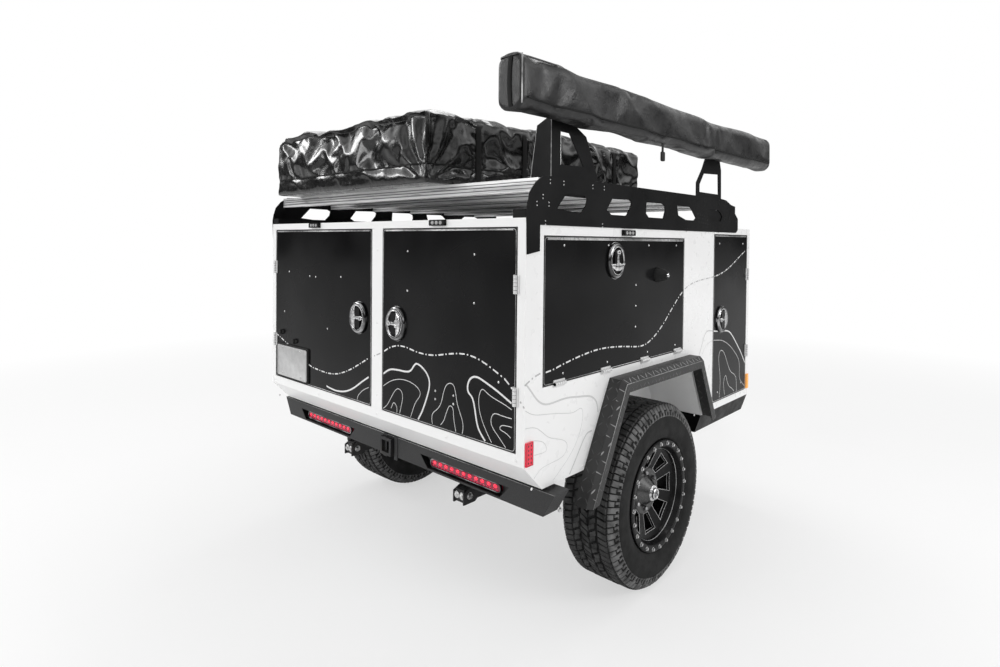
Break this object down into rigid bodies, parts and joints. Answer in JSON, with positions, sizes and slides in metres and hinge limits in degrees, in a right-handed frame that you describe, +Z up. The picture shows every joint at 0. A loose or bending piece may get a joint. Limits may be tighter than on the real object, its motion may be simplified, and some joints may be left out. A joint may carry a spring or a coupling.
{
  "type": "off-road camping trailer",
  "caption": "Boxy off-road camping trailer with side galley hatches, rear doors, roof tent under its cover, side awning bag, rack, ladder chassis with drawbar, swivel jack and flared fenders.",
  "frame": {"origin": "on the ground, under the middle of the trailer's bounding box", "axes": "+X forward along the drawbar, +Y to the trailer's left, +Z up"},
  "size_m": [3.345, 1.885, 2.006],
  "materials": {
    "body_white": "white painted composite sheet",
    "door_black": "gloss black skin with thin contour lines",
    "frame_black": "satin black powder coat",
    "bumper_black": "textured black powder coat",
    "tread_plate": "black tread plate with worn edges",
    "rack_black": "satin black powder-coated plate",
    "silver_extrusion": "anodised extrusion",
    "tyre_rubber": "all-terrain tyre",
    "rim_black": "matte black wheel with bright bolts",
    "steel_black": "black painted steel",
    "spring_steel": "dark spring steel",
    "zinc_steel": "zinc-plated steel",
    "lamp_red": "red lens with light-emitting diodes",
    "lamp_amber": "amber lens",
    "lamp_white": "clear lens in a black housing",
    "tent_vinyl": "glossy black coated fabric",
    "awning_vinyl": "smooth black coated fabric",
    "well_white": "white painted sheet"
  },
  "bodies": {
    "trailer": {"chassis_frame": "frame_black", "coupler": "steel_black", "axle_beam": "steel_black", "leaf_spring_left": "spring_steel", "leaf_spring_right": "spring_steel", "floor_panel": "frame_black", "body_side_left": "body_white", "body_side_right": "body_white", "rear_frame": "body_white", "front_wall": "body_white", "roof_panel": "body_white", "wheel_well_left": "well_white", "wheel_well_right": "well_white", "fender_left": "tread_plate", "fender_right": "tread_plate", "skirt_box_left": "frame_black", "skirt_box_right": "frame_black", "rear_bumper": "bumper_black", "receiver_tube": "bumper_black", "tail_lamps": "lamp_red", "marker_lamps_red": "lamp_red", "marker_lamps_amber": "lamp_amber", "scene_lights": "lamp_white", "rack_side_left": "rack_black", "rack_side_right": "rack_black", "rack_crossbars": "silver_extrusion", "roof_rails": "body_white", "roof_tent": "tent_vinyl", "awning_bag": "awning_vinyl", "awning_bracket_rear": "rack_black", "awning_bracket_front": "rack_black"},
    "wheel_left": {"rim_left": "rim_black", "tyre_left": "tyre_rubber"},
    "wheel_right": {"rim_right": "rim_black", "tyre_right": "tyre_rubber"},
    "rear_door_left": {"rear_door_left": "door_black"},
    "rear_door_right": {"rear_door_right": "door_black"},
    "galley_hatch_left": {"galley_hatch_left": "door_black"},
    "galley_hatch_right": {"galley_hatch_right": "door_black"},
    "side_door_left": {"side_door_left": "door_black"},
    "side_door_right": {"side_door_right": "door_black"},
    "stabiliser_left": {"stabiliser_left": "steel_black"},
    "stabiliser_right": {"stabiliser_right": "steel_black"},
    "jack": {"jack_leg": "zinc_steel", "jack_crank": "steel_black"}
  },
  "joints": [
    {"name": "wheel_left_spin", "type": "hinge", "parent": "trailer", "child": "wheel_left", "pos_m": [-0.69597, 0.7935, 0.3817], "axis": [0, 1, 0], "continuous": true},
    {"name": "wheel_right_spin", "type": "hinge", "parent": "trailer", "child": "wheel_right", "pos_m": [-0.69597, -0.7625, 0.3817], "axis": [0, 1, 0], "continuous": true},
    {"name": "rear_door_right_swing", "type": "hinge", "parent": "trailer", "child": "rear_door_right", "pos_m": [-1.5345, -0.802, 1.117], "axis": [0, 0, 1], "range_deg": [0, 110]},
    {"name": "rear_door_left_swing", "type": "hinge", "parent": "trailer", "child": "rear_door_left", "pos_m": [-1.5345, 0.833, 1.117], "axis": [0, 0, -1], "range_deg": [0, 110]},
    {"name": "galley_hatch_right_fold", "type": "hinge", "parent": "trailer", "child": "galley_hatch_right", "pos_m": [-0.9245, -0.8465, 0.9555], "axis": [1, 0, 0], "range_deg": [0, 90]},
    {"name": "galley_hatch_left_fold", "type": "hinge", "parent": "trailer", "child": "galley_hatch_left", "pos_m": [-0.9245, 0.8775, 0.9555], "axis": [-1, 0, 0], "range_deg": [0, 90]},
    {"name": "side_door_right_swing", "type": "hinge", "parent": "trailer", "child": "side_door_right", "pos_m": [0.333, -0.8465, 1.065], "axis": [0, 0, 1], "range_deg": [0, 110]},
    {"name": "side_door_left_swing", "type": "hinge", "parent": "trailer", "child": "side_door_left", "pos_m": [0.333, 0.8775, 1.065], "axis": [0, 0, -1], "range_deg": [0, 110]},
    {"name": "stabiliser_right_drop", "type": "hinge", "parent": "trailer", "child": "stabiliser_right", "pos_m": [-1.3445, -0.3725, 0.433], "axis": [0, 1, 0], "range_deg": [0, 90]},
    {"name": "stabiliser_left_drop", "type": "hinge", "parent": "trailer", "child": "stabiliser_left", "pos_m": [-1.3445, 0.4035, 0.433], "axis": [0, 1, 0], "range_deg": [0, 90]},
    {"name": "jack_swing", "type": "hinge", "parent": "trailer", "child": "jack", "pos_m": [1.0593, 0.18885, 0.571], "axis": [0.2248, 0.9744, 0], "range_deg": [0, 90]}
  ]
}
